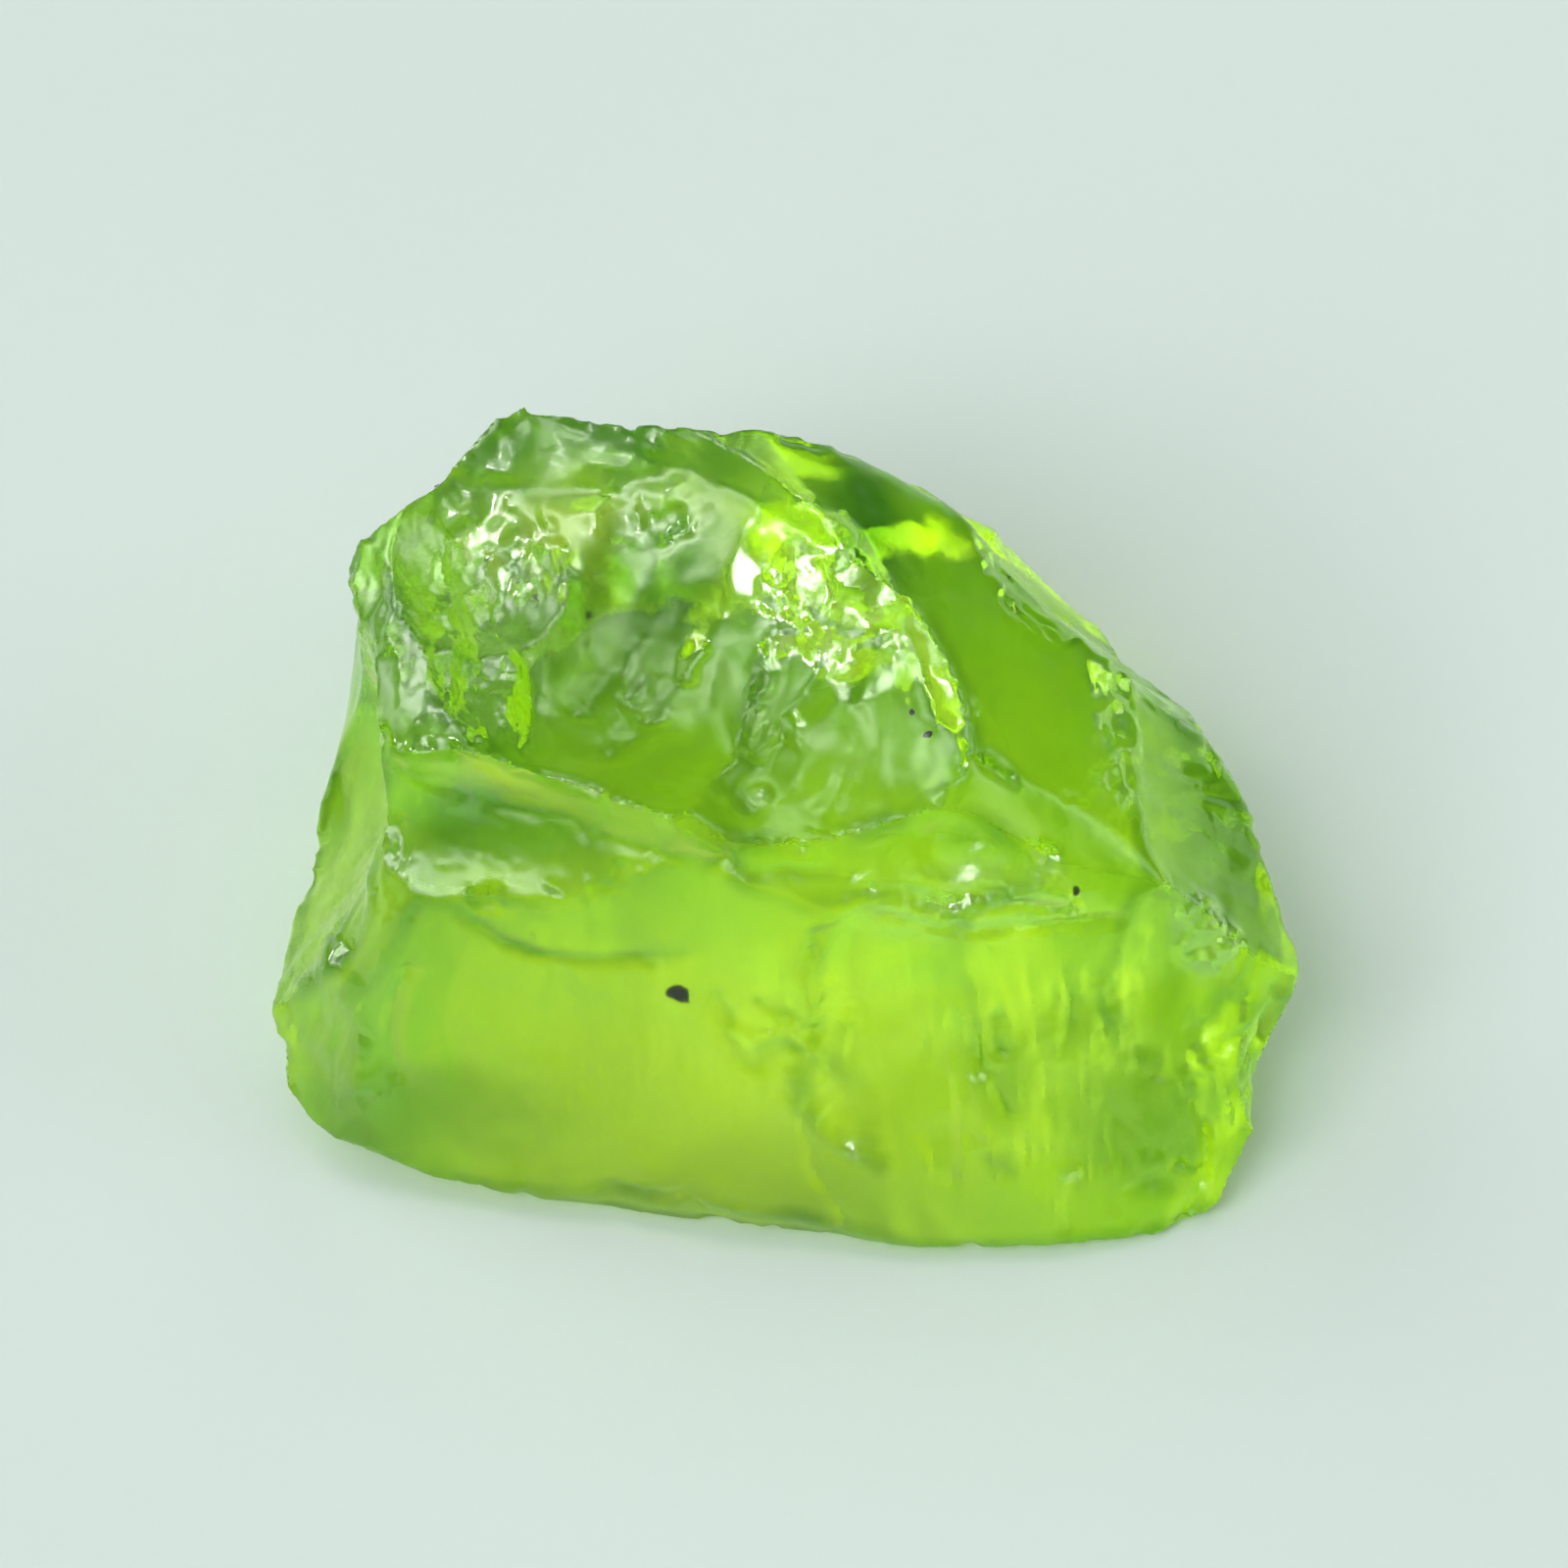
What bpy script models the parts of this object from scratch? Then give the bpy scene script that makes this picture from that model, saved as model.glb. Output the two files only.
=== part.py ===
# A rough peridot crystal: one glassy, gem-clear lump, broken all round by curved scars and worn at its edges.
# X is its length, Y its depth and Z its height. The origin is at the middle of its box, on the surface
# that its flat facet rests on. The shape is cut in millimetres, and then scaled down to metres.

import math

import bmesh
import bpy
from mathutils import Matrix, Vector, noise
from mathutils.bvhtree import BVHTree

MM = 0.001

# Overall size of the crystal, in millimetres. The finished shape is scaled to it.
LENGTH = 9.0
DEPTH = 6.9
HEIGHT = 5.1

# Corners of the blank that the scars are broken from.
RESTING_FACET = [
    (-3.2, -2.35), (-1.6, -2.95), (1.2, -3.35), (3.3, -3.25), (3.6, -1.6),
    (3.1, 0.9), (1.4, 2.3), (-1.4, 2.4), (-3.2, 0.9), (-3.7, -1.0),
]
FOOT_CORNERS = [
    (-4.18, -2.49, 0.6), (-2.83, -2.98, 0.3), (-0.81, -3.39, 0.2), (1.22, -3.56, 0.15),
    (3.17, -3.52, 0.15), (3.80, -3.46, 0.25), (4.05, -2.73, 1.1), (4.32, -2.28, 1.4),
    (4.52, -1.60, 2.0), (-4.52, -1.37, 1.6), (-4.40, -2.10, 1.0),
]
WAIST_CORNERS = [
    (3.9, 0.3, 1.5), (3.0, 1.4, 2.0), (2.0, 2.4, 1.8), (0.5, 3.0, 1.9), (-1.2, 3.3, 2.1),
    (-2.6, 2.7, 2.0), (-3.5, 1.4, 2.2), (-3.85, 0.0, 2.2),
]
RIM_CORNERS = [
    (-3.70, 0.55, 4.10), (-3.17, 1.60, 4.40), (-2.49, 2.00, 4.90), (-1.60, 2.35, 5.10),
    (-0.50, 2.05, 5.05), (0.54, 1.40, 4.85), (1.55, 1.15, 4.40), (2.50, 0.85, 3.85),
    (2.95, 0.60, 3.55), (3.35, 0.15, 3.10), (3.75, -0.35, 2.60), (4.20, -0.95, 2.40),
]
BRINK_CORNERS = [
    (-3.5, -0.9, 4.2), (-2.2, -1.6, 4.55), (-0.8, -1.95, 4.5), (0.6, -2.0, 4.3),
    (2.0, -1.95, 3.8), (3.4, -1.85, 3.2), (0.9, 0.3, 5.0), (1.4, -0.8, 4.7),
    (-2.5, -2.35, 2.6), (0.5, -2.85, 2.3), (2.8, -2.8, 2.1),
]
FLAT_ANGLE = math.radians(2)
WORN_EDGE = 0.38
WORN_EDGE_STEPS = 3
WORN_EDGE_ANGLE = math.radians(9)

# Scars of flakes that broke away: name, middle, direction outwards, length, width, depth,
# the turn of the length about that direction in degrees, and how wavy and rippled it is, from 0 to 1.
FRONT_SCARS = [
    ("left_face", (-3.95, -0.3, 2.9), (-0.96, -0.18, 0.22), 4.6, 4.6, 0.50, 80, 0.5),
    ("front_left_face", (-1.7, -2.7, 1.9), (-0.18, -0.92, 0.33), 8.0, 6.0, 0.16, 5, 0.25),
    ("front_right_face", (2.4, -2.85, 1.9), (0.25, -0.88, 0.40), 6.0, 5.6, 0.20, -10, 0.4),
    ("right_plane", (1.95, 0.1, 4.4), (0.55, 0.0, 0.83), 5.4, 4.4, 0.10, 75, 0.1),
    ("right_strip", (3.55, -0.5, 3.1), (0.77, 0.0, 0.64), 6.4, 2.8, 0.14, 52, 0.4),
    ("frosted_bowl", (-1.25, -0.15, 4.85), (-0.05, -0.12, 0.99), 4.9, 3.5, 0.85, -12, 1.0),
    ("bowl_back", (-2.2, 0.35, 4.8), (-0.22, -0.10, 0.96), 2.6, 2.0, 0.78, 10, 0.8),
    ("swirl", (0.45, -0.85, 4.65), (0.14, -0.42, 0.90), 3.1, 2.5, 0.66, 20, 1.0),
    ("left_band", (-2.45, -1.85, 3.85), (-0.28, -0.80, 0.53), 4.6, 1.8, 0.36, 12, 0.8),
    ("middle_band", (1.3, -2.1, 3.9), (0.12, -0.76, 0.64), 4.0, 1.3, 0.20, -6, 0.6),
    ("right_pocket", (3.2, -2.5, 2.3), (0.50, -0.76, 0.42), 2.6, 1.6, 0.30, 65, 0.7),
    ("low_pocket", (3.1, -3.0, 0.9), (0.38, -0.90, 0.20), 1.9, 1.4, 0.17, 70, 0.7),
    ("middle_step", (1.5, -2.8, 2.1), (-0.20, -0.90, 0.38), 3.2, 1.5, 0.12, 100, 0.6),
    ("right_notch", (4.2, -2.5, 1.2), (0.90, -0.38, 0.20), 1.7, 1.2, 0.24, 90, 0.3),
    ("left_corner", (-3.7, -2.3, 1.2), (-0.70, -0.66, 0.28), 3.4, 2.2, 0.20, 80, 0.5),
    ("front_foot", (-1.2, -3.1, 0.4), (-0.12, -0.96, -0.25), 4.6, 1.0, 0.07, 0, 0.5),
]
BACK_SCARS = [
    ("right_flank", (4.0, 0.1, 1.4), (0.94, 0.30, -0.08), 4.2, 3.0, 0.26, 15, 0.6),
    ("back_face", (0.3, 2.4, 3.1), (0.05, 0.86, 0.50), 6.4, 3.9, 0.36, 8, 1.0),
    ("back_left_face", (-2.9, 2.0, 3.2), (-0.62, 0.72, 0.32), 5.0, 4.0, 0.32, 35, 0.8),
    ("back_right_face", (2.6, 1.5, 2.9), (0.66, 0.60, 0.45), 5.6, 3.8, 0.30, -25, 0.9),
    ("back_shelf", (-0.8, 2.9, 2.2), (-0.15, 0.95, 0.25), 2.8, 1.4, 0.35, 12, 0.8),
    ("back_foot", (-0.6, 2.95, 1.1), (-0.05, 0.90, -0.43), 6.6, 3.0, 0.26, 0, 0.8),
    ("left_foot", (-3.9, -0.2, 1.1), (-0.88, 0.22, -0.42), 5.0, 2.6, 0.22, -8, 0.7),
    ("back_left_foot", (-2.6, 2.0, 1.1), (-0.60, 0.66, -0.45), 3.6, 2.4, 0.22, 10, 0.7),
    ("right_foot", (3.7, -0.4, 0.7), (0.88, 0.14, -0.45), 4.6, 2.2, 0.18, 5, 0.5),
    ("back_right_foot", (2.4, 1.9, 0.9), (0.55, 0.70, -0.46), 3.8, 2.4, 0.22, -10, 0.7),
]

# A scar's surface: the size of its facets, how far its block reaches past its mouth, how steeply
# it climbs there, and the height and pitch of its waves and ripples.
SCAR_STEP = 0.26
SCAR_REACH = 2.0
SCAR_FLARE = 0.3
WAVE_HEIGHT = 0.07
WAVE_PITCH = 1.25
FINE_WAVE_PITCH = 0.48
RIPPLE_HEIGHT = 0.035
RIPPLE_PITCH = 0.8
RIPPLE_REACH = 1.3
RIPPLE_BEND = 2.0
BLOCK_HEIGHT = 3.0
LEAST_CELLS = 6
SEED_SPREAD = 3.7

# Small chips knocked off the sharp edges between the scars.
CHIPS = 14
CHIP_EDGE_ANGLE = math.radians(24)
CHIP_SPACING = 1.0
CHIP_LENGTH = (0.7, 1.6)
CHIP_SLIMNESS = 0.6
CHIP_DEPTH = 0.09
CHIP_STEP = 0.14
CHIP_FLOOR = 0.5
CHIP_ORDER_PITCH = 0.19
CHIP_SIZE_PITCH = 0.34


def clear_scene():
    for obj in list(bpy.data.objects):
        bpy.data.objects.remove(obj, do_unlink=True)


def new_collection(name):
    collection = bpy.data.collections.new(name)
    bpy.context.scene.collection.children.link(collection)
    return collection


def object_from(bm, name, collection):
    mesh = bpy.data.meshes.new(name)
    bm.to_mesh(mesh)
    bm.free()
    obj = bpy.data.objects.new(name, mesh)
    collection.objects.link(obj)
    return obj


def only_verts(geometry):
    return [item for item in geometry if isinstance(item, bmesh.types.BMVert)]


def apply_modifiers(obj):
    bpy.context.view_layer.update()
    evaluated = obj.evaluated_get(bpy.context.evaluated_depsgraph_get())
    bm = bmesh.new()
    bm.from_mesh(evaluated.to_mesh())
    bmesh.ops.triangulate(bm, faces=bm.faces)
    obj.modifiers.clear()
    bm.to_mesh(obj.data)
    bm.free()


def make_blank(collection):
    bm = bmesh.new()
    facet = [(x, y, 0.0) for x, y in RESTING_FACET]
    for corner in facet + FOOT_CORNERS + WAIST_CORNERS + RIM_CORNERS + BRINK_CORNERS:
        bm.verts.new(corner)
    hull = bmesh.ops.convex_hull(bm, input=bm.verts)
    inner = set(only_verts(hull["geom_interior"] + hull["geom_unused"]))
    bmesh.ops.delete(bm, geom=list(inner), context="VERTS")
    bmesh.ops.dissolve_limit(bm, angle_limit=FLAT_ANGLE, verts=bm.verts, edges=bm.edges)
    bmesh.ops.recalc_face_normals(bm, faces=bm.faces)
    blank = object_from(bm, "peridot_crystal", collection)
    worn = blank.modifiers.new("worn_edges", "BEVEL")
    worn.width = WORN_EDGE
    worn.segments = WORN_EDGE_STEPS
    worn.limit_method = "ANGLE"
    worn.angle_limit = WORN_EDGE_ANGLE
    apply_modifiers(blank)
    return blank


# The underside of a scar's block: a shallow wavy bowl with ripples spreading from one end,
# which climbs steeply past its mouth so that the block's walls stay clear of the crystal.
def scar_height(spot, length, width, depth, roughness, seed):
    reach = math.hypot(2 * spot.x / length, 2 * spot.y / width)
    flare = max(0.0, reach - 1.0)
    bowl = depth * (reach * reach - 1.0) + SCAR_FLARE * width * flare * flare
    flat = Vector((spot.x, spot.y, 0.0))
    wave = noise.noise(flat / WAVE_PITCH + seed) + 0.5 * noise.noise(flat / FINE_WAVE_PITCH + seed)
    from_strike = math.hypot(spot.x + length / 2, spot.y)
    ripple = math.sin(2 * math.pi * from_strike / RIPPLE_PITCH + RIPPLE_BEND * wave)
    ripple *= max(0.0, RIPPLE_REACH - reach)
    return min(bowl, BLOCK_HEIGHT) + (wave * WAVE_HEIGHT + ripple * RIPPLE_HEIGHT) * roughness


# A scar is cut by a block that lies on the crystal at the scar's middle and faces outwards.
def make_cutter(scar, step, surface, collection):
    name, middle, outwards, length, width, depth, turn, roughness = scar
    middle = Vector(middle)
    direction = Vector(outwards).normalized()
    touch = surface.ray_cast(middle + direction * BLOCK_HEIGHT, -direction)[0]
    bm = bmesh.new()
    cells = [max(LEAST_CELLS, round(side * SCAR_REACH / step)) for side in (length, width)]
    bmesh.ops.create_grid(bm, x_segments=cells[0], y_segments=cells[1], size=SCAR_REACH / 2)
    bmesh.ops.scale(bm, vec=(length, width, 1.0), verts=bm.verts)
    underside = list(bm.faces)
    for vert in bm.verts:
        vert.co.z = scar_height(vert.co, length, width, depth, roughness, middle * SEED_SPREAD)
    raised = bmesh.ops.extrude_face_region(bm, geom=underside)["geom"]
    for vert in only_verts(raised):
        vert.co.z = BLOCK_HEIGHT * 2
    bmesh.ops.recalc_face_normals(bm, faces=bm.faces)
    facing = direction.to_track_quat("Z", "Y").to_matrix().to_4x4()
    place = Matrix.Translation(touch) @ facing @ Matrix.Rotation(math.radians(turn), 4, "Z")
    bmesh.ops.transform(bm, matrix=place, verts=bm.verts)
    bmesh.ops.triangulate(bm, faces=bm.faces)
    cutter = object_from(bm, name, collection)
    cutter.hide_render = True
    cutter.display_type = "WIRE"
    return cutter


def cut_away(crystal, cutters):
    for cutter in cutters:
        cut = crystal.modifiers.new(cutter.name, "BOOLEAN")
        cut.operation = "DIFFERENCE"
        cut.solver = "EXACT"
        cut.object = cutter
    apply_modifiers(crystal)


def surface_of(obj):
    bm = bmesh.new()
    bm.from_mesh(obj.data)
    surface = BVHTree.FromBMesh(bm)
    bm.free()
    return surface


def break_scars(crystal, collection):
    surface = surface_of(crystal)
    cut_away(crystal, [make_cutter(scar, SCAR_STEP, surface, collection) for scar in FRONT_SCARS + BACK_SCARS])


# Chips sit on sharp edges spread over the crystal, in an order that a noise field shuffles.
def chip_places(crystal):
    bm = bmesh.new()
    bm.from_mesh(crystal.data)
    sharp = []
    for edge in bm.edges:
        middle = (edge.verts[0].co + edge.verts[1].co) / 2
        if edge.calc_face_angle_signed(0.0) > CHIP_EDGE_ANGLE and middle.z > CHIP_FLOOR:
            outwards = (edge.link_faces[0].normal + edge.link_faces[1].normal).normalized()
            along = (edge.verts[1].co - edge.verts[0].co).normalized()
            sharp.append((noise.noise(middle / CHIP_ORDER_PITCH), middle, outwards, along))
    bm.free()
    chosen = []
    for _, middle, outwards, along in sorted(sharp, key=lambda spot: spot[0]):
        if all((middle - other[0]).length > CHIP_SPACING for other in chosen):
            chosen.append((middle, outwards, along))
    return chosen[:CHIPS]


def break_chips(crystal, collection):
    surface = surface_of(crystal)
    cutters = []
    for number, (middle, outwards, along) in enumerate(chip_places(crystal)):
        choice = 0.5 + 0.5 * noise.noise(middle / CHIP_SIZE_PITCH)
        length = CHIP_LENGTH[0] + (CHIP_LENGTH[1] - CHIP_LENGTH[0]) * choice
        flat = outwards.to_track_quat("Z", "Y").to_matrix().inverted() @ along
        turn = math.degrees(math.atan2(flat.y, flat.x))
        size = (length, length * CHIP_SLIMNESS, length * CHIP_DEPTH)
        chip = (f"chip_{number + 1}", middle, outwards, *size, turn, 0.0)
        cutters.append(make_cutter(chip, CHIP_STEP, surface, collection))
    cut_away(crystal, cutters)


# The finished shape is scaled to the overall size, centred, and set down with its flat facet at Z = 0.
def set_down(crystal, cutters):
    corners = [vert.co for vert in crystal.data.vertices]
    low = Vector([min(corner[axis] for corner in corners) for axis in range(3)])
    high = Vector([max(corner[axis] for corner in corners) for axis in range(3)])
    foot = Vector(((low.x + high.x) / 2, (low.y + high.y) / 2, low.z))
    fit = [size * MM / (high[axis] - low[axis]) for axis, size in enumerate((LENGTH, DEPTH, HEIGHT))]
    place = Matrix.Diagonal((*fit, 1.0)) @ Matrix.Translation(-foot)
    for obj in [crystal, *cutters.objects]:
        obj.data.transform(place)


def peridot_material():
    material = bpy.data.materials.new("peridot")
    material.use_nodes = True
    shader = material.node_tree.nodes["Principled BSDF"]
    shader.inputs["Base Color"].default_value = (0.46, 0.72, 0.12, 1.0)
    shader.inputs["Roughness"].default_value = 0.12
    shader.inputs["Metallic"].default_value = 0.0
    shader.inputs["IOR"].default_value = 1.67
    shader.inputs["Transmission Weight"].default_value = 0.85
    return material


def main():
    clear_scene()
    parts = new_collection("rough_peridot_crystal")
    cutters = new_collection("cutters")
    crystal = make_blank(parts)
    break_scars(crystal, cutters)
    break_chips(crystal, cutters)
    set_down(crystal, cutters)
    crystal.data.materials.clear()
    crystal.data.materials.append(peridot_material())


main()
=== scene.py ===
# Rough peridot crystal: a clear yellow-green lump with curved broken faces, some of them frosted.
# Its solid comes from the frame. Its fine surface, its dark specks and the studio are made here.
import math

import bmesh
import bpy
from mathutils import Matrix, Vector, kdtree, noise


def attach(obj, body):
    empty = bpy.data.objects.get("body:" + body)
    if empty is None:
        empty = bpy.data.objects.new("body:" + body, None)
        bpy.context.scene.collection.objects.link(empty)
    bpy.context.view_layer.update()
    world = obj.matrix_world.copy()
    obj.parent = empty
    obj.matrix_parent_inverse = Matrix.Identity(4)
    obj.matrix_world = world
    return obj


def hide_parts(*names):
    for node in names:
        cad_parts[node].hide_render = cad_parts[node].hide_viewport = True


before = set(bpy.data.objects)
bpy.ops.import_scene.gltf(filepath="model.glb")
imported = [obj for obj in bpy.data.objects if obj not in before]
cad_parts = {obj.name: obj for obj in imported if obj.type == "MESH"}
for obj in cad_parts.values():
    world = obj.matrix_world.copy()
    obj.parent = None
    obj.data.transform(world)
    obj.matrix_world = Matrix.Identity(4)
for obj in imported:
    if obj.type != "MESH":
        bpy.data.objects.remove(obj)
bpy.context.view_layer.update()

mm = 0.001
noiseSeed = 12
noise.seed_set(noiseSeed)       # noise vectors start from the clock without it
print("frame loaded:", sorted(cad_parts))


def newObject(name, bm, material=None):
    mesh = bpy.data.meshes.new(name)
    bm.to_mesh(mesh)
    bm.free()
    obj = bpy.data.objects.new(name, mesh)
    bpy.context.scene.collection.objects.link(obj)
    if material:
        mesh.materials.append(material)
    return obj


def applyModifiers(obj):
    bpy.context.view_layer.update()
    evaluated = obj.evaluated_get(bpy.context.evaluated_depsgraph_get())
    finished = bpy.data.meshes.new_from_object(evaluated)
    obj.modifiers.clear()
    obj.data = finished


def smoothStep(low, high, value):
    share = min(1.0, max(0.0, (value - low) / (high - low)))
    return share * share * (3.0 - 2.0 * share)


def wavesAt(spot, sizes, mean=0.0):
    # Smooth random waves about a mean. Each size is a pitch per millimetre and a height.
    return mean + sum(height * noise.noise(spot * pitch) for pitch, height in sizes)


# The fine surface of the crystal. Lengths are in millimetres until the mesh is finished.
crystal = {
    "weld": 1e-7,                       # corners of the solid that are this close, in metres, become one
    "voxel": 0.0425,
    "sharpAngle": math.radians(20),
    "edgeReach": (0.04, 0.20),          # smoothing grows from none at a sharp edge to all of it here
    "edgeRounds": 2,
    "faceRounds": 30,
    "roundStrength": 0.5,
    "crispAngle": math.radians(26),     # chips that meet at more than this keep a crisp edge
    "keptFaces": 0.775,                 # share of the faces left after thinning the flat stretches
    "restHeight": 0.12,                 # relief fades out below this, so the resting facet stays flat
    "flatBelow": 0.012,
    "swells": ((0.75, 0.030), (2.1, 0.014), (6.0, 0.004)),
    "hackle": {"grain": 0.42, "slope": 0.13, "stretch": (1, 1, 0.7)},     # small hollows all over
    "hackleMean": 0.7,
    "hackleWaves": ((0.8, 1.0),),
    "nibble": 0.10,                     # how deep the worn edges are bitten
    "nibbleStart": 0.12,
    "nibbleWaves": ((2.4, 1.0), (6.5, 0.5)),
    "edgeShade": 0.75,                  # painted shade: darker colour along the worn edges, for the dark lines refraction draws there
    "edgeShadeMean": 0.5,
    "edgeShadeWaves": ((1.9, 1.0),),
    "footShade": 0.8,                   # painted contact shade: darker colour along the foot, gone between these heights
    "footHeight": (0.10, 0.60),
}

# Relief, frost and painted shade come in patches: egg-shaped places that fade out between two shares of
# their radii.
patchEdge = {
    "outline": (0.50, 1.10),
    "shadeOutline": (0.35, 1.20),
    "farthest": 1.6,
    "raggedness": 0.42,                 # how far the outline wanders
    "waves": ((1.3, 1.0), (4.1, 0.3)),
}


def patchShare(patch, spot, outline="outline"):
    reach = Vector((spot[axis] - patch["middle"][axis]) / patch["radii"][axis] for axis in range(3)).length
    if reach > patchEdge["farthest"]:
        return 0.0
    ragged = patchEdge["raggedness"] * wavesAt(spot, patchEdge["waves"])
    return 1.0 - smoothStep(*patchEdge[outline], reach + ragged)


# Facets are shallow hollows, each with a tilt of its own, that meet in crisp ridges.
facets = {
    "wander": 0.07,                     # how far the ridges stray, and how often per millimetre
    "wanderPitch": 3.0,
    "layers": ((1.0, 0.75), (0.45, 0.35)),      # large and small hollows: share of the grain, strength
    "hollow": 0.6,
    "tilt": 0.8,
    "tiltSeed": 5.37,
    "level": 0.06,
}

# Where the faces are broken into facets: how large and steep they are, how they are drawn out,
# and how frosted.
facetPatches = {
    "bowlLeft": {"middle": (-2.85, 0.20, 4.3), "radii": (1.2, 1.5, 1.0),
                 "grain": 0.27, "slope": 0.9, "stretch": (1, 0.5, 0.7), "frost": 1.0},
    "rim": {"middle": (-1.15, 1.80, 4.8), "radii": (1.4, 0.4, 0.6),
            "grain": 0.26, "slope": 0.35, "stretch": (0.8, 1, 1), "frost": 0.1},
    "bowlBack": {"middle": (-1.15, 1.38, 4.40), "radii": (1.0, 0.3, 0.4),
                 "grain": 0.25, "slope": 0.5, "stretch": (1, 1, 1), "frost": 0.2},
    "bowlRight": {"middle": (0.25, 0.30, 4.6), "radii": (0.8, 0.75, 0.5),
                  "grain": 0.30, "slope": 0.9, "stretch": (1, 0.7, 1), "frost": 1.0},
    "band": {"middle": (-2.50, -1.50, 3.35), "radii": (0.9, 0.35, 0.35),
             "grain": 0.17, "slope": 0.26, "stretch": (0.7, 1, 1), "frost": 0.0},
    "lip": {"middle": (-1.70, -1.55, 4.00), "radii": (1.5, 0.4, 0.25),
            "grain": 0.25, "slope": 0.40, "stretch": (0.6, 1, 1), "frost": 0.0},
    "rightPlane": {"middle": (1.9, 0.3, 4.2), "radii": (0.9, 2.0, 1.0),
                   "grain": 0.90, "slope": 0.06, "stretch": (1, 0.5, 1), "frost": 0.0},
    "planeTop": {"middle": (1.35, 1.25, 4.6), "radii": (0.7, 0.7, 0.6),
                 "grain": 0.60, "slope": 0.10, "stretch": (1, 1, 1), "frost": 0.0},
    "bowlFloor": {"middle": (-0.2, -0.2, 4.15), "radii": (2.0, 1.3, 0.8),
                  "grain": 0.24, "slope": 0.20, "stretch": (1, 0.6, 1), "frost": 0.1},
    "frontLeft": {"middle": (-1.6, -2.5, 1.6), "radii": (2.2, 0.9, 1.7),
                  "grain": 0.60, "slope": 0.10, "stretch": (1, 1, 0.5), "frost": 0.0},
    "planeEdge": {"middle": (2.85, 0.10, 3.6), "radii": (0.25, 1.4, 0.6),
                  "grain": 0.20, "slope": 0.8, "stretch": (1, 0.7, 1), "frost": 0.4},
    "rightShoulder": {"middle": (3.75, -1.75, 2.6), "radii": (0.45, 0.4, 0.6),
                      "grain": 0.24, "slope": 0.9, "stretch": (1, 1, 0.8), "frost": 0.8},
    "frontRight": {"middle": (2.7, -2.6, 1.7), "radii": (1.7, 1.0, 1.8),
                   "grain": 0.85, "slope": 0.12, "stretch": (1, 1, 0.6), "frost": 0.0},
    "frontMiddle": {"middle": (0.1, -2.6, 2.3), "radii": (0.75, 0.6, 0.6),
                    "grain": 0.34, "slope": 0.45, "stretch": (1, 1, 1), "frost": 0.0},
    "ledge": {"middle": (1.6, -1.95, 3.5), "radii": (1.5, 0.4, 0.45),
              "grain": 0.30, "slope": 0.40, "stretch": (0.35, 1, 1), "frost": 0.5},
    "leftFace": {"middle": (-3.9, -1.7, 1.9), "radii": (0.9, 1.4, 2.0),
                 "grain": 0.45, "slope": 0.40, "stretch": (1, 1, 0.35), "frost": 0.25},
    "back": {"middle": (0.6, 3.0, 2.4), "radii": (2.6, 1.2, 1.6),
             "grain": 0.70, "slope": 0.40, "stretch": (0.7, 1, 1), "frost": 0.2},
    "rightFlank": {"middle": (4.2, 0.6, 1.6), "radii": (0.9, 1.8, 1.3),
                   "grain": 0.55, "slope": 0.40, "stretch": (1, 0.6, 1), "frost": 0.0},
}


def facetHeight(patch, spot):
    bent = spot + facets["wander"] * noise.noise_vector(spot * facets["wanderPitch"])
    height = 0.0
    for sizeShare, strength in facets["layers"]:
        size = sizeShare * patch["grain"]
        drawn = Vector(bent[axis] * patch["stretch"][axis] / size for axis in range(3))
        hollows = []
        for seed in noise.voronoi(drawn)[1]:
            away = drawn - seed
            tilt = away.dot(noise.noise_vector(seed * facets["tiltSeed"]))
            hollows.append(facets["hollow"] * away.length_squared + facets["tilt"] * tilt)
        height += strength * size * (min(hollows) - facets["level"])
    return patch["slope"] * height


# Ripples spread over a face from the place where it was struck.
ripples = {
    "bends": ((1.1, 0.35), (3.7, 0.08)),
    "mean": 0.5,                        # how strong they are on the whole, and where
    "waves": ((1.7, 0.9),),
}
ripplePatches = {
    "swirl": {"strike": (-1.6, -0.4, 4.3), "middle": (0.35, -0.75, 4.2), "radii": (1.3, 1.1, 0.9),
              "height": 0.012, "pitch": 0.45, "frost": 0.2},
    "frontLeft": {"strike": (-0.9, -5.5, 2.4), "middle": (-1.4, -2.3, 1.8), "radii": (2.2, 0.8, 1.4),
                  "height": 0.008, "pitch": 0.60, "frost": 0.0},
}


def rippleHeight(patch, spot):
    away = (spot - Vector(patch["strike"])).length
    bend = wavesAt(spot, ripples["bends"])
    strength = wavesAt(spot, ripples["waves"], ripples["mean"])
    return patch["height"] * strength * math.sin(2 * math.pi * (away + bend) / patch["pitch"])


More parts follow.
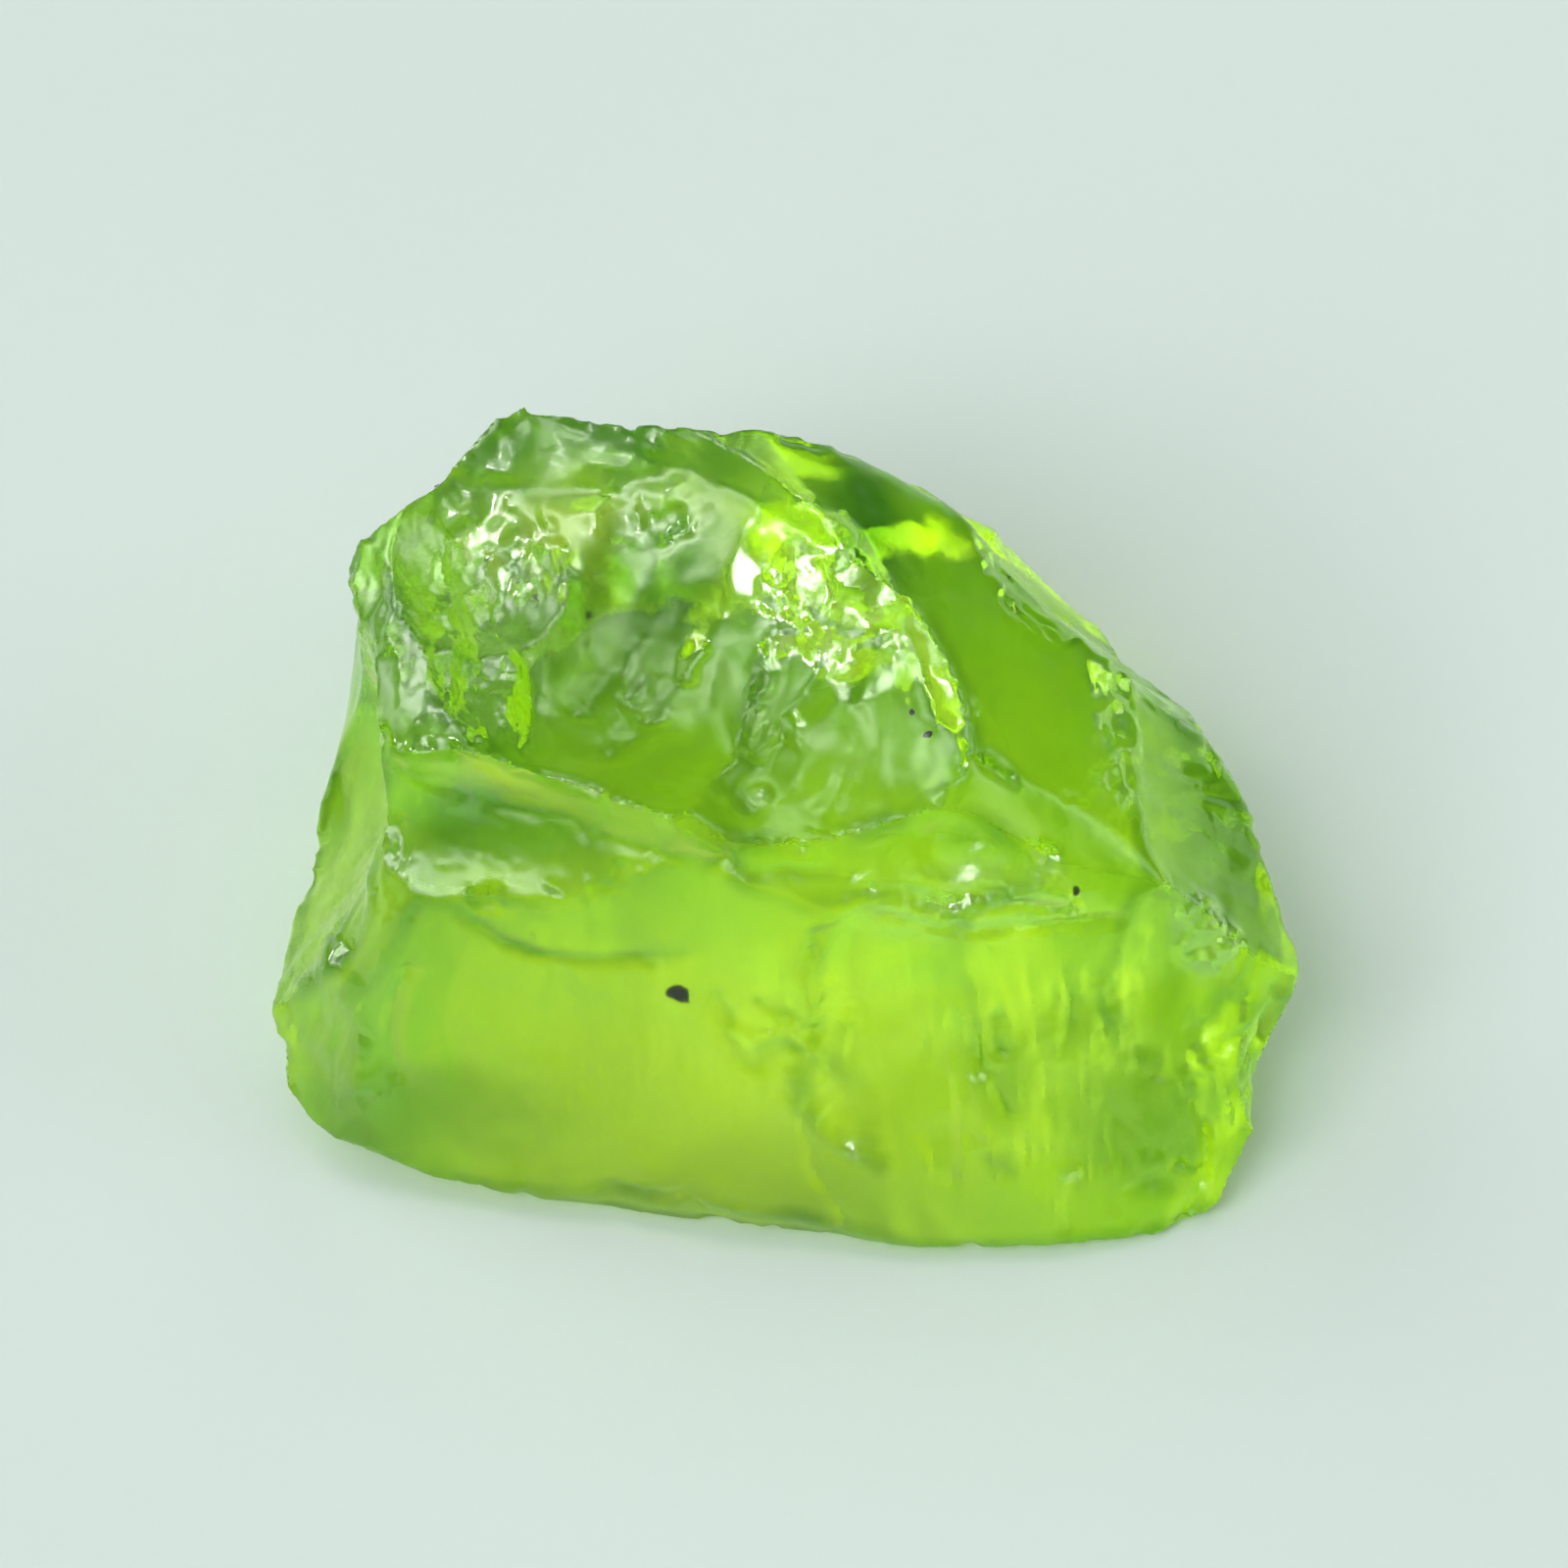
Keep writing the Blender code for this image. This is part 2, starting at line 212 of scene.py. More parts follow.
# Streaks run along a face: fine ridges with sharp valleys between them.
streaks = {"level": 0.6, "broad": 2.0, "fine": 1.0, "finePitch": 2.7}
streakPatches = {
    "frontRight": {"middle": (2.4, -2.7, 1.7), "radii": (1.9, 1.0, 1.9), "frost": 0.0,
                   "along": (0.10, -0.35, -0.93), "height": 0.030, "pitch": 0.22, "length": 1.5},
    "leftFace": {"middle": (-3.9, -1.7, 1.9), "radii": (0.9, 1.5, 2.2), "frost": 0.0,
                 "along": (-0.25, -0.30, -0.92), "height": 0.030, "pitch": 0.24, "length": 2.0},
    "frontLeft": {"middle": (-1.4, -2.6, 1.7), "radii": (2.3, 0.9, 1.6), "frost": 0.0,
                  "along": (0.10, -0.30, -0.95), "height": 0.022, "pitch": 0.40, "length": 1.5},
    "rightStrip": {"middle": (3.8, 0.2, 2.3), "radii": (0.9, 2.2, 1.6), "frost": 0.0,
                   "along": (0.70, 0.10, -0.70), "height": 0.024, "pitch": 0.28, "length": 1.6},
    "back": {"middle": (0.6, 3.0, 2.4), "radii": (3.2, 1.4, 2.0), "frost": 0.0,
             "along": (0.10, 0.60, -0.80), "height": 0.030, "pitch": 0.35, "length": 2.0},
}


def streakHeight(patch, spot):
    along = Vector(patch["along"])
    lengthwise = along * spot.dot(along)
    drawn = (spot - lengthwise) / patch["pitch"] + lengthwise / patch["length"]
    broad = streaks["broad"] * abs(noise.noise(drawn))
    fine = streaks["fine"] * abs(noise.noise(streaks["finePitch"] * drawn))
    return patch["height"] * (streaks["level"] - broad - fine)


# Creases follow lines over the surface; painted shade darkens the colour along them, for the dark lines
# seen at cracks.
creaseLook = {
    "farthest": 4.5,                    # no crease reaches this far from its first point
    "bends": ((4.0, 0.05), (1.5, 0.10)),
    "mean": 0.75,
    "waves": ((2.7, 0.5),),
}
creases = {
    "lipLeft": {
        "points": ((-3.42, -0.99, 4.11), (-2.86, -1.14, 3.91), (-2.16, -1.35, 3.94), (-1.41, -1.67, 4.00),
                   (-0.47, -1.98, 4.04)),
        "width": 0.09, "depth": 0.05, "paintedShade": 0.75},
    "lipMiddle": {
        "points": ((-0.47, -1.98, 4.04), (0.61, -1.89, 3.78)),
        "width": 0.06, "depth": 0.04, "paintedShade": 0.5},
    "bowlBack": {
        "points": ((-2.97, 1.57, 4.53), (-2.29, 1.57, 4.55), (-1.41, 1.55, 4.57), (-0.87, 1.62, 4.78),
                   (-0.20, 1.25, 4.86), (0.41, 0.76, 4.94)),
        "width": 0.14, "depth": 0.05, "paintedShade": 0.9},
    "bandFoot": {
        "points": ((-2.83, -1.81, 3.08), (-2.36, -1.99, 2.78), (-2.02, -2.08, 2.69), (-1.41, -2.16, 2.77),
                   (-0.87, -2.22, 2.97)),
        "width": 0.08, "depth": 0.045, "paintedShade": 1.0},
    "bowlRight": {
        "points": ((0.41, 0.93, 5.05), (0.81, 0.42, 4.86), (1.08, 0.03, 4.46), (1.32, -0.57, 4.27),
                   (1.55, -1.16, 4.33)),
        "width": 0.07, "depth": 0.05, "paintedShade": 0.8},
    "crinkle": {
        "points": ((-0.54, -2.40, 2.62), (-0.44, -2.58, 2.21), (-0.23, -2.71, 1.97), (0.07, -2.67, 2.27),
                   (0.37, -2.66, 2.16), (0.54, -2.52, 2.31), (0.62, -2.67, 1.96)),
        "width": 0.07, "depth": 0.05, "paintedShade": 1.0},
    "crinkleTop": {
        "points": ((-0.20, -2.47, 2.67), (0.14, -2.59, 2.54), (0.27, -2.63, 2.41)),
        "width": 0.06, "depth": 0.04, "paintedShade": 0.9},
    "markLeft": {
        "points": ((1.59, -2.54, 2.34), (1.65, -2.74, 1.89), (1.82, -2.78, 1.82), (1.96, -2.88, 1.48)),
        "width": 0.08, "depth": 0.06, "paintedShade": 1.0},
    "markMiddle": {
        "points": ((1.86, -2.50, 2.39), (1.89, -2.64, 2.05)),
        "width": 0.07, "depth": 0.05, "paintedShade": 1.0},
    "markRight": {
        "points": ((2.43, -2.18, 2.65), (2.50, -2.38, 2.20), (2.43, -2.50, 2.01)),
        "width": 0.07, "depth": 0.05, "paintedShade": 1.0},
    "lowRight": {
        "points": ((2.83, -2.70, 1.32), (3.17, -2.88, 0.84), (3.58, -2.93, 0.54)),
        "width": 0.07, "depth": 0.05, "paintedShade": 0.8},
    "footRight": {
        "points": ((3.58, -2.61, 1.17), (3.68, -2.77, 0.80), (3.64, -3.00, 0.40), (3.44, -3.21, 0.10)),
        "width": 0.06, "depth": 0.10, "paintedShade": 0.4},
    "rightNotch": {
        "points": ((4.25, -1.91, 1.84), (4.22, -1.95, 1.27), (3.98, -2.35, 1.26)),
        "width": 0.08, "depth": 0.10, "paintedShade": 1.0},
    "ledgeTop": {
        "points": ((0.74, -1.99, 3.68), (1.28, -2.03, 3.56), (1.96, -2.00, 3.45), (2.43, -1.94, 3.29)),
        "width": 0.05, "depth": 0.06, "paintedShade": 0.2},
    "ledgeFoot": {
        "points": ((0.88, -2.08, 3.38), (1.55, -2.18, 3.35), (2.30, -2.02, 3.16), (2.90, -1.89, 3.08)),
        "width": 0.06, "depth": 0.05, "paintedShade": 0.3},
    "leftCorner": {
        "points": ((-3.57, -0.79, 4.25), (-3.61, -1.11, 3.61), (-3.64, -1.55, 2.92), (-4.05, -1.90, 1.44)),
        "width": 0.08, "depth": 0.06, "paintedShade": 0.2},
    "leftMark": {
        "points": ((-3.27, -1.98, 2.33), (-3.40, -2.21, 1.67), (-3.37, -2.39, 1.21)),
        "width": 0.07, "depth": 0.06, "paintedShade": 0.3},
    "middleFoot": {
        "points": ((0.14, -2.96, 1.48), (0.20, -3.13, 0.98), (0.54, -3.33, 0.42)),
        "width": 0.07, "depth": 0.06, "paintedShade": 0.1},
}


def distanceToLine(points, spot):
    nearest = math.inf
    for start, end in zip(points, points[1:]):
        start = Vector(start)
        along = Vector(end) - start
        share = min(1.0, max(0.0, (spot - start).dot(along) / along.length_squared))
        nearest = min(nearest, (spot - start - along * share).length)
    return nearest


def creaseShare(crease, spot):
    if (spot - Vector(crease["points"][0])).length > creaseLook["farthest"]:
        return 0.0
    bent = spot
    for pitch, size in creaseLook["bends"]:
        bent = bent + size * noise.noise_vector(spot * pitch)
    strength = wavesAt(spot, creaseLook["waves"], creaseLook["mean"])
    return strength * math.exp(-((distanceToLine(crease["points"], bent) / crease["width"]) ** 2))


# Small chips that catch the light: place, radius and height.
chips = {
    "ledgeEnd": ((2.50, -1.93, 3.27), 0.15, 0.06),
    "shoulderTop": ((3.51, -1.66, 2.83), 0.14, 0.06),
    "shoulderFoot": ((3.85, -1.80, 2.42), 0.16, 0.06),
    "planeEdge": ((2.77, 0.21, 3.66), 0.13, 0.05),
    "bowlBack": ((-2.49, 1.35, 4.25), 0.16, 0.05),
    "rim": ((-1.14, 1.84, 4.88), 0.13, 0.05),
    "lowRight": ((2.50, -3.09, 0.79), 0.13, 0.04),
    "lowMiddle": ((0.61, -3.09, 1.18), 0.12, 0.04),
    "bowlLip": ((-0.20, -1.28, 4.15), 0.14, 0.04),
}


def chipShare(middle, radius, spot):
    return max(0.0, 1.0 - (spot - Vector(middle)).length_squared / radius ** 2) ** 2


# Faces that are dull and scatter what passes through them: the resting facet and the back, in patches,
# and the front.
dullFaces = {
    "below": (0.05, 0.45),
    "behind": (0.6, 2.0),
    "behindWaves": ((0.9, 0.5),),
    "backShare": 0.7,
    "facing": (0.42, 0.60),             # how squarely a front face looks forward
    "frontShare": 0.62,
    "patchWaves": ((1.1, 1.0),),
    "patchEdge": (-0.3, 0.3),
    "leastPatch": 0.5,
}


def dullShare(spot, normal):
    patchy = smoothStep(*dullFaces["patchEdge"], wavesAt(spot, dullFaces["patchWaves"]))
    patchy = dullFaces["leastPatch"] + (1.0 - dullFaces["leastPatch"]) * patchy
    below = 1.0 - smoothStep(*dullFaces["below"], spot.z)
    backward = spot.y + wavesAt(spot, dullFaces["behindWaves"])
    behind = dullFaces["backShare"] * smoothStep(*dullFaces["behind"], backward)
    front = dullFaces["frontShare"] * smoothStep(*dullFaces["facing"], -normal.y)
    return max(front, patchy * max(below, behind))


# Painted shade: where the colour is darkened for places that look dark because of how light passes through
# the stone.
shadePatches = {
    "bowlBack": {"middle": (-1.05, 0.95, 4.30), "radii": (1.15, 0.7, 0.8), "strength": 1.0},
    "band": {"middle": (-2.35, -1.40, 3.75), "radii": (1.7, 0.6, 0.6), "strength": 0.9},
    "rim": {"middle": (-0.9, 2.10, 4.85), "radii": (2.4, 0.9, 0.8), "strength": 1.0},
    "planeTop": {"middle": (0.75, 1.15, 4.95), "radii": (0.5, 1.0, 0.5), "strength": 1.0},
    "rightStrip": {"middle": (3.70, -0.3, 2.6), "radii": (0.8, 2.2, 1.6), "strength": 0.7},
    "lowRight": {"middle": (3.15, -2.75, 1.1), "radii": (0.9, 0.6, 0.9), "strength": 0.65},
    "markLeft": {"middle": (1.85, -2.65, 1.8), "radii": (0.35, 0.4, 0.65), "strength": 0.55},
    "markRight": {"middle": (2.55, -2.45, 2.3), "radii": (0.5, 0.4, 0.45), "strength": 0.4},
    "leftFoot": {"middle": (-3.2, -2.4, 0.7), "radii": (1.4, 0.7, 0.8), "strength": 0.7},
}

# The left side is drawn in between the bowl's rim and the lower corner.
waist = {"middle": (-4.2, 0.0, 2.9), "radii": (2.3, 2.2, 2.2), "depth": 0.55}


def drawnIn(spot):
    away = spot - Vector(waist["middle"])
    distance = Vector(away[axis] / waist["radii"][axis] for axis in range(3)).length
    return waist["depth"] * smoothStep(0.0, 1.0, 1.0 - distance)


reliefs = ((facetPatches, facetHeight), (ripplePatches, rippleHeight), (streakPatches, streakHeight))


def surfaceAt(spot, normal, nearEdge):
    # Gives the height of the relief, the frost, the dullness and the painted shade at one point.
    height = wavesAt(spot, crystal["swells"])
    hackleShare = wavesAt(spot, crystal["hackleWaves"], crystal["hackleMean"])
    height += hackleShare * facetHeight(crystal["hackle"], spot)
    frost = 0.0
    # Painted shade along the sharp edges, and painted contact shade around the foot.
    edgePatchy = max(0.0, wavesAt(spot, crystal["edgeShadeWaves"], crystal["edgeShadeMean"]))
    foot = 1.0 - smoothStep(*crystal["footHeight"], spot.z)
    paintedShade = max(crystal["edgeShade"] * nearEdge * edgePatchy, crystal["footShade"] * foot * nearEdge)
    for patches, heightOf in reliefs:
        for patch in patches.values():
            share = patchShare(patch, spot)
            if share > 0.0:
                height += share * heightOf(patch, spot)
                frost = max(frost, share * patch["frost"])
    for crease in creases.values():
        share = creaseShare(crease, spot)
        height -= share * crease["depth"]
        paintedShade = max(paintedShade, share * crease["paintedShade"])
    for middle, radius, rise in chips.values():
        share = chipShare(middle, radius, spot)
        height += share * rise
        frost = max(frost, share)
    for patch in shadePatches.values():
        paintedShade = max(paintedShade, patch["strength"] * patchShare(patch, spot, "shadeOutline"))
    bite = max(0.0, wavesAt(spot, crystal["nibbleWaves"]) - crystal["nibbleStart"])
    height -= nearEdge * crystal["nibble"] * bite
    height *= smoothStep(0.0, crystal["restHeight"], spot.z)
    return height, frost, dullShare(spot, normal), min(1.0, paintedShade)


def sharpEdgePoints(bm):
    points = []
    for edge in bm.edges:
        if edge.calc_face_angle(0.0) > crystal["sharpAngle"]:
            start, end = (vert.co for vert in edge.verts)
            steps = max(1, round((end - start).length / crystal["voxel"]))
            points += [start.lerp(end, (step + 0.5) / steps) for step in range(steps)]
    tree = kdtree.KDTree(len(points))
    for index, point in enumerate(points):
        tree.insert(point, index)
    tree.balance()
    return tree


def makeCrystal(node, material):
    bm = bmesh.new()
    bm.from_mesh(node.data)
    bmesh.ops.remove_doubles(bm, verts=bm.verts, dist=crystal["weld"])
    bmesh.ops.scale(bm, vec=(1 / mm,) * 3, verts=bm.verts)
    sharp = sharpEdgePoints(bm)
    obj = newObject("rough_crystal", bm)

    remesh = obj.modifiers.new("fineSurface", "REMESH")
    remesh.mode = "VOXEL"
    remesh.voxel_size = crystal["voxel"]
    applyModifiers(obj)
    print("fine surface:", len(obj.data.polygons), "faces")

    # Faces are smoothed more than the edges between them, which stay crisp but worn.
    mesh = obj.data
    edgeShare = [1.0 - smoothStep(*crystal["edgeReach"], sharp.find(vert.co)[2]) for vert in mesh.vertices]
    openFaces = obj.vertex_groups.new(name="openFaces")
    for index, share in enumerate(edgeShare):
        openFaces.add([index], 1.0 - share, "REPLACE")
    for rounds, group in ((crystal["edgeRounds"], ""), (crystal["faceRounds"], "openFaces")):
        smooth = obj.modifiers.new("wear", "SMOOTH")
        smooth.factor = crystal["roundStrength"]
        smooth.iterations = rounds
        smooth.vertex_group = group
    applyModifiers(obj)
    obj.vertex_groups.clear()

    mesh = obj.data
    # Per point: frost, painted shade and dullness, which the material reads.
    made = {name: mesh.attributes.new(name, "FLOAT", "POINT") for name in ("frost", "painted_shade", "dull")}
    spots = [vert.co.copy() for vert in mesh.vertices]
    normals = [vert.normal.copy() for vert in mesh.vertices]
    for index, (spot, normal, share) in enumerate(zip(spots, normals, edgeShare)):
        height, frost, dull, paintedShade = surfaceAt(spot, normal, share)
        raised = spot + normal * height
        raised.x += drawnIn(spot)
        raised.z = raised.z if raised.z > crystal["flatBelow"] else 0.0
        mesh.vertices[index].co = raised
        made["frost"].data[index].value = frost
        made["painted_shade"].data[index].value = paintedShade
        made["dull"].data[index].value = dull

    thin = obj.modifiers.new("thin", "DECIMATE")
    thin.ratio = crystal["keptFaces"]
    applyModifiers(obj)
    mesh = obj.data
    print("thinned surface:", sum(len(face.vertices) - 2 for face in mesh.polygons), "triangles")
    mesh.transform(Matrix.Scale(mm, 4))
    mesh.shade_smooth()
    mesh.set_sharp_from_angle(angle=crystal["crispAngle"])
    mesh.materials.clear()
    mesh.materials.append(material)
    return obj


# The clear stone. Frost, dullness and painted shade come from the surface's own attributes.
peridot = {
    "ior": 1.67,
    "absorption": (0.895, 0.991, 0.03, 1.0),
    "density": 560.0,
    # painted reflection: tints the surface reflections green, for green light from nearby stones
    "paintedReflectionTint": (0.85, 1.0, 0.75, 1.0),
    "tintClear": (0.98, 1.0, 0.64, 1.0),
    "tintCloudy": (0.91, 0.98, 0.45, 1.0),
    # painted shade: the dark green that shaded places are tinted towards
    "tintShade": (0.13, 0.31, 0.02, 1.0),
    "tintFrost": (0.93, 1.0, 0.86, 1.0),
    "roughness": (0.10, 0.22),          # where the stone is clearest and where it is cloudiest
    "cloudSpan": (0.35, 0.65),
    "cloudScale": 420.0,
    "cloudDetail": 4.0,
    "frostRoughness": 0.18,
    "dullRoughness": 0.42,
    "frostGrain": 9000.0,
    "frostGrainDetail": 1.0,
    "frostBump": 0.5,
    "frostDepth": 0.00004,
    "frostIor": 2.0,
    "frostSheen": 0.15,
}


def newMaterial(name):
    material = bpy.data.materials.new(name)
    material.use_nodes = True
    tree = material.node_tree
    return material, tree, tree.nodes["Principled BSDF"]


def shareFrom(tree, attribute):
    share = tree.nodes.new("ShaderNodeAttribute")
    share.attribute_name = attribute
    return share.outputs["Fac"]


def noiseFrom(tree, place, scale, detail):
    texture = tree.nodes.new("ShaderNodeTexNoise")
    texture.inputs["Scale"].default_value = scale
    texture.inputs["Detail"].default_value = detail
    tree.links.new(place, texture.inputs["Vector"])
    return texture.outputs["Fac"]


def blendColour(tree, first, second, share):
    mix = tree.nodes.new("ShaderNodeMix")
    mix.data_type = "RGBA"
    for socket, value in (("A", first), ("B", second)):
        if isinstance(value, tuple):
            mix.inputs[socket].default_value = value
        else:
            tree.links.new(value, mix.inputs[socket])
    tree.links.new(share, mix.inputs["Factor"])
    return mix.outputs["Result"]


def blendNumber(tree, first, second, share):
    mix = tree.nodes.new("ShaderNodeMix")
    mix.inputs["B"].default_value = second
    tree.links.new(share, mix.inputs["Factor"])
    tree.links.new(first, mix.inputs["A"])
    return mix.outputs["Result"]


def makePeridot():
    material, tree, shader = newMaterial("peridot")
    nodes, links = tree.nodes, tree.links
    place = nodes.new("ShaderNodeTexCoord").outputs["Object"]
    frost = shareFrom(tree, "frost")
    cloud = noiseFrom(tree, place, peridot["cloudScale"], peridot["cloudDetail"])
    tint = blendColour(tree, peridot["tintClear"], peridot["tintCloudy"], cloud)
    tint = blendColour(tree, tint, peridot["tintFrost"], frost)
    # Painted shade: the tint darkens where the surface is marked as shaded.
    tint = blendColour(tree, tint, peridot["tintShade"], shareFrom(tree, "painted_shade"))
    links.new(tint, shader.inputs["Base Color"])

    rough = nodes.new("ShaderNodeMapRange")
    for end, cloudiness, roughness in zip(("Min", "Max"), peridot["cloudSpan"], peridot["roughness"]):
        rough.inputs["From " + end].default_value = cloudiness
        rough.inputs["To " + end].default_value = roughness
    links.new(cloud, rough.inputs["Value"])
    roughness = blendNumber(tree, rough.outputs["Result"], peridot["frostRoughness"], frost)
    roughness = blendNumber(tree, roughness, peridot["dullRoughness"], shareFrom(tree, "dull"))
    links.new(roughness, shader.inputs["Roughness"])
    shader.inputs["IOR"].default_value = peridot["ior"]
    shader.inputs["Transmission Weight"].default_value = 1.0
    # Painted reflection: green-tinted surface reflections.
    shader.inputs["Specular Tint"].default_value = peridot["paintedReflectionTint"]
    shader.inputs["Coat IOR"].default_value = peridot["frostIor"]
    shader.inputs["Coat Roughness"].default_value = peridot["frostSheen"]
    links.new(frost, shader.inputs["Coat Weight"])

    strength = nodes.new("ShaderNodeMath")
    strength.operation = "MULTIPLY"
    strength.inputs[1].default_value = peridot["frostBump"]
    links.new(frost, strength.inputs[0])
    bump = nodes.new("ShaderNodeBump")
    bump.inputs["Distance"].default_value = peridot["frostDepth"]
    links.new(strength.outputs["Value"], bump.inputs["Strength"])
    grain = noiseFrom(tree, place, peridot["frostGrain"], peridot["frostGrainDetail"])
    links.new(grain, bump.inputs["Height"])
    links.new(bump.outputs["Normal"], shader.inputs["Normal"])

    body = nodes.new("ShaderNodeVolumeAbsorption")
    body.inputs["Color"].default_value = peridot["absorption"]
    body.inputs["Density"].default_value = peridot["density"]
    links.new(body.outputs["Volume"], nodes["Material Output"].inputs["Volume"])
    return material


# Dark mineral grains caught under the surface: place and radius in millimetres.
specks = {
    "grains": {
        "front": ((-0.90, -2.24, 2.50), 0.085),
        "frontTail": ((-0.86, -2.20, 2.40), 0.05),
        "bowl": ((1.26, -0.68, 4.12), 0.032),
        "bowlUpper": ((1.12, -0.45, 4.14), 0.025),
        "ledge": ((2.50, -1.74, 3.34), 0.034),
        "backLeft": ((-1.9, 1.9, 1.6), 0.07),
        "backRight": ((1.4, 1.5, 2.4), 0.06),
    },
    "roundness": 3,
    "lump": 0.45,
    "lumpPitch": 1.4,
    "lumpSpread": 7.0,                  # sets how different the grains' shapes are
    "colour": (0.006, 0.007, 0.003, 1.0),
    "roughness": 0.9,
    "specular": 0.0,
}


def makeSpecks():
    material, tree, shader = newMaterial("dark_mineral")
    shader.inputs["Base Color"].default_value = specks["colour"]
    shader.inputs["Roughness"].default_value = specks["roughness"]
    shader.inputs["Specular IOR Level"].default_value = specks["specular"]
    bm = bmesh.new()
    for middle, radius in specks["grains"].values():
        middle = Vector(middle)
        made = bmesh.ops.create_icosphere(bm, subdivisions=specks["roundness"], radius=radius)["verts"]
        for vert in made:
            field = vert.co / radius * specks["lumpPitch"] + middle * specks["lumpSpread"]
            vert.co = vert.co * (1.0 + specks["lump"] * noise.noise(field)) + middle
    bmesh.ops.scale(bm, vec=(mm,) * 3, verts=bm.verts)
    obj = newObject("dark_specks", bm, material)
    obj.data.shade_smooth()
    return obj


print("materials")
peridotMaterial = makePeridot()

print("crystal")
rough = makeCrystal(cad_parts["peridot_crystal"], peridotMaterial)
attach(rough, "root")
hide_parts("peridot_crystal")

print("specks")
darkSpecks = makeSpecks()
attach(darkSpecks, "root")


# The studio, in metres. Windows are soft bright places in the sky; azimuth 0 is right, 90 behind.
studio = {
    "floorSize": 0.8,
    "floorGap": 0.00002,
    "floorColour": (0.565, 0.65, 0.615, 1.0),
    "floorRoughness": 0.7,
    "skyLow": (0.10, 0.105, 0.11, 1.0),
    "skyHigh": (0.14, 0.145, 0.15, 1.0),
    "skyHighAt": 0.80,
    "windows": {
        "frontHigh": {"azimuth": 246, "elevation": 59, "sharpness": 60.0, "strength": 10.2},
        "frontLeft": {"azimuth": 219, "elevation": 42, "sharpness": 60.0, "strength": 9.4},
        "backLeft": {"azimuth": 146, "elevation": 38, "sharpness": 20.0, "strength": 3.4},
        "backRight": {"azimuth": 70, "elevation": 47, "sharpness": 60.0, "strength": 2.1},
        "overhead": {"azimuth": 90, "elevation": 80, "sharpness": 30.0, "strength": 3.0},
        "right": {"azimuth": 0, "elevation": 36, "sharpness": 20.0, "strength": 2.0},
        "frontLow": {"azimuth": 278, "elevation": 24, "sharpness": 40.0, "strength": 0.8},
    },
}


def makeFloor():
    bm = bmesh.new()
    bmesh.ops.create_grid(bm, x_segments=1, y_segments=1, size=studio["floorSize"] / 2)
    bmesh.ops.translate(bm, vec=(0, 0, -studio["floorGap"]), verts=bm.verts)
    material, tree, shader = newMaterial("floor")
    shader.inputs["Base Color"].default_value = studio["floorColour"]
    shader.inputs["Roughness"].default_value = studio["floorRoughness"]
    floor = newObject("floor", bm, material)


def directionOf(azimuth, elevation):
    across, up = math.radians(azimuth), math.radians(elevation)
    return Vector((math.cos(up) * math.cos(across), math.cos(up) * math.sin(across), math.sin(up)))


